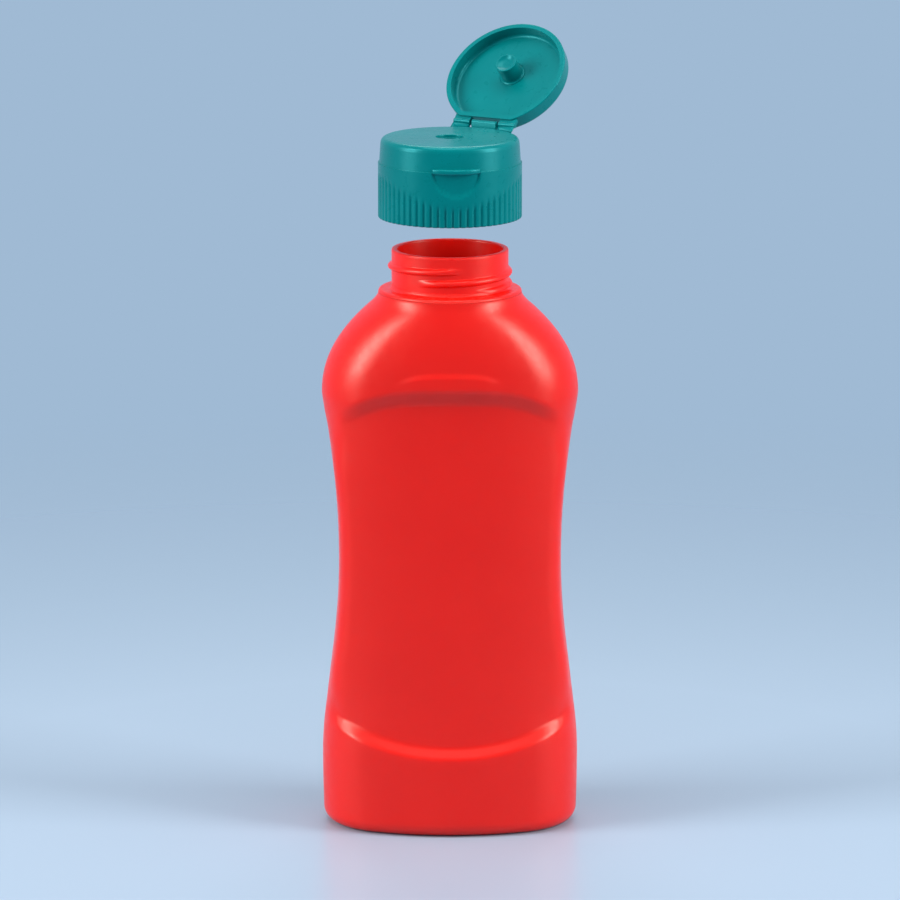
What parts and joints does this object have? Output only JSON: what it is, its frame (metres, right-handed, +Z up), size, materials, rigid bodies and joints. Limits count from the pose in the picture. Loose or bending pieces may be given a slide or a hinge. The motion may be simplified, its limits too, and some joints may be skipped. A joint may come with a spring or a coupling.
{
  "type": "squeeze bottle",
  "caption": "Empty waisted squeeze bottle with an oval body and sunken label panels, its ribbed flip-top cap lifted off the threaded neck with the lid open.",
  "frame": {"origin": "centre of the foot ring, on the surface the bottle stands on", "axes": "+Z up along the neck, -Y out of the front label panel, +X to the bottle's right as seen from the front"},
  "size_m": [0.0772, 0.0711, 0.2378],
  "materials": {
    "bottle_red": "satin blow-moulded polyethylene",
    "cap_teal": "satin injection-moulded polypropylene"
  },
  "bodies": {
    "bottle": {"bottle": "bottle_red", "cap": "cap_teal"},
    "lid": {"lid": "cap_teal"}
  },
  "joints": [
    {"name": "lid_hinge", "type": "hinge", "parent": "bottle", "child": "lid", "pos_m": [0.01046, 0.01775, 0.211], "axis": [0.8616, -0.5075, 0], "range_deg": [-20, 135.5]}
  ]
}
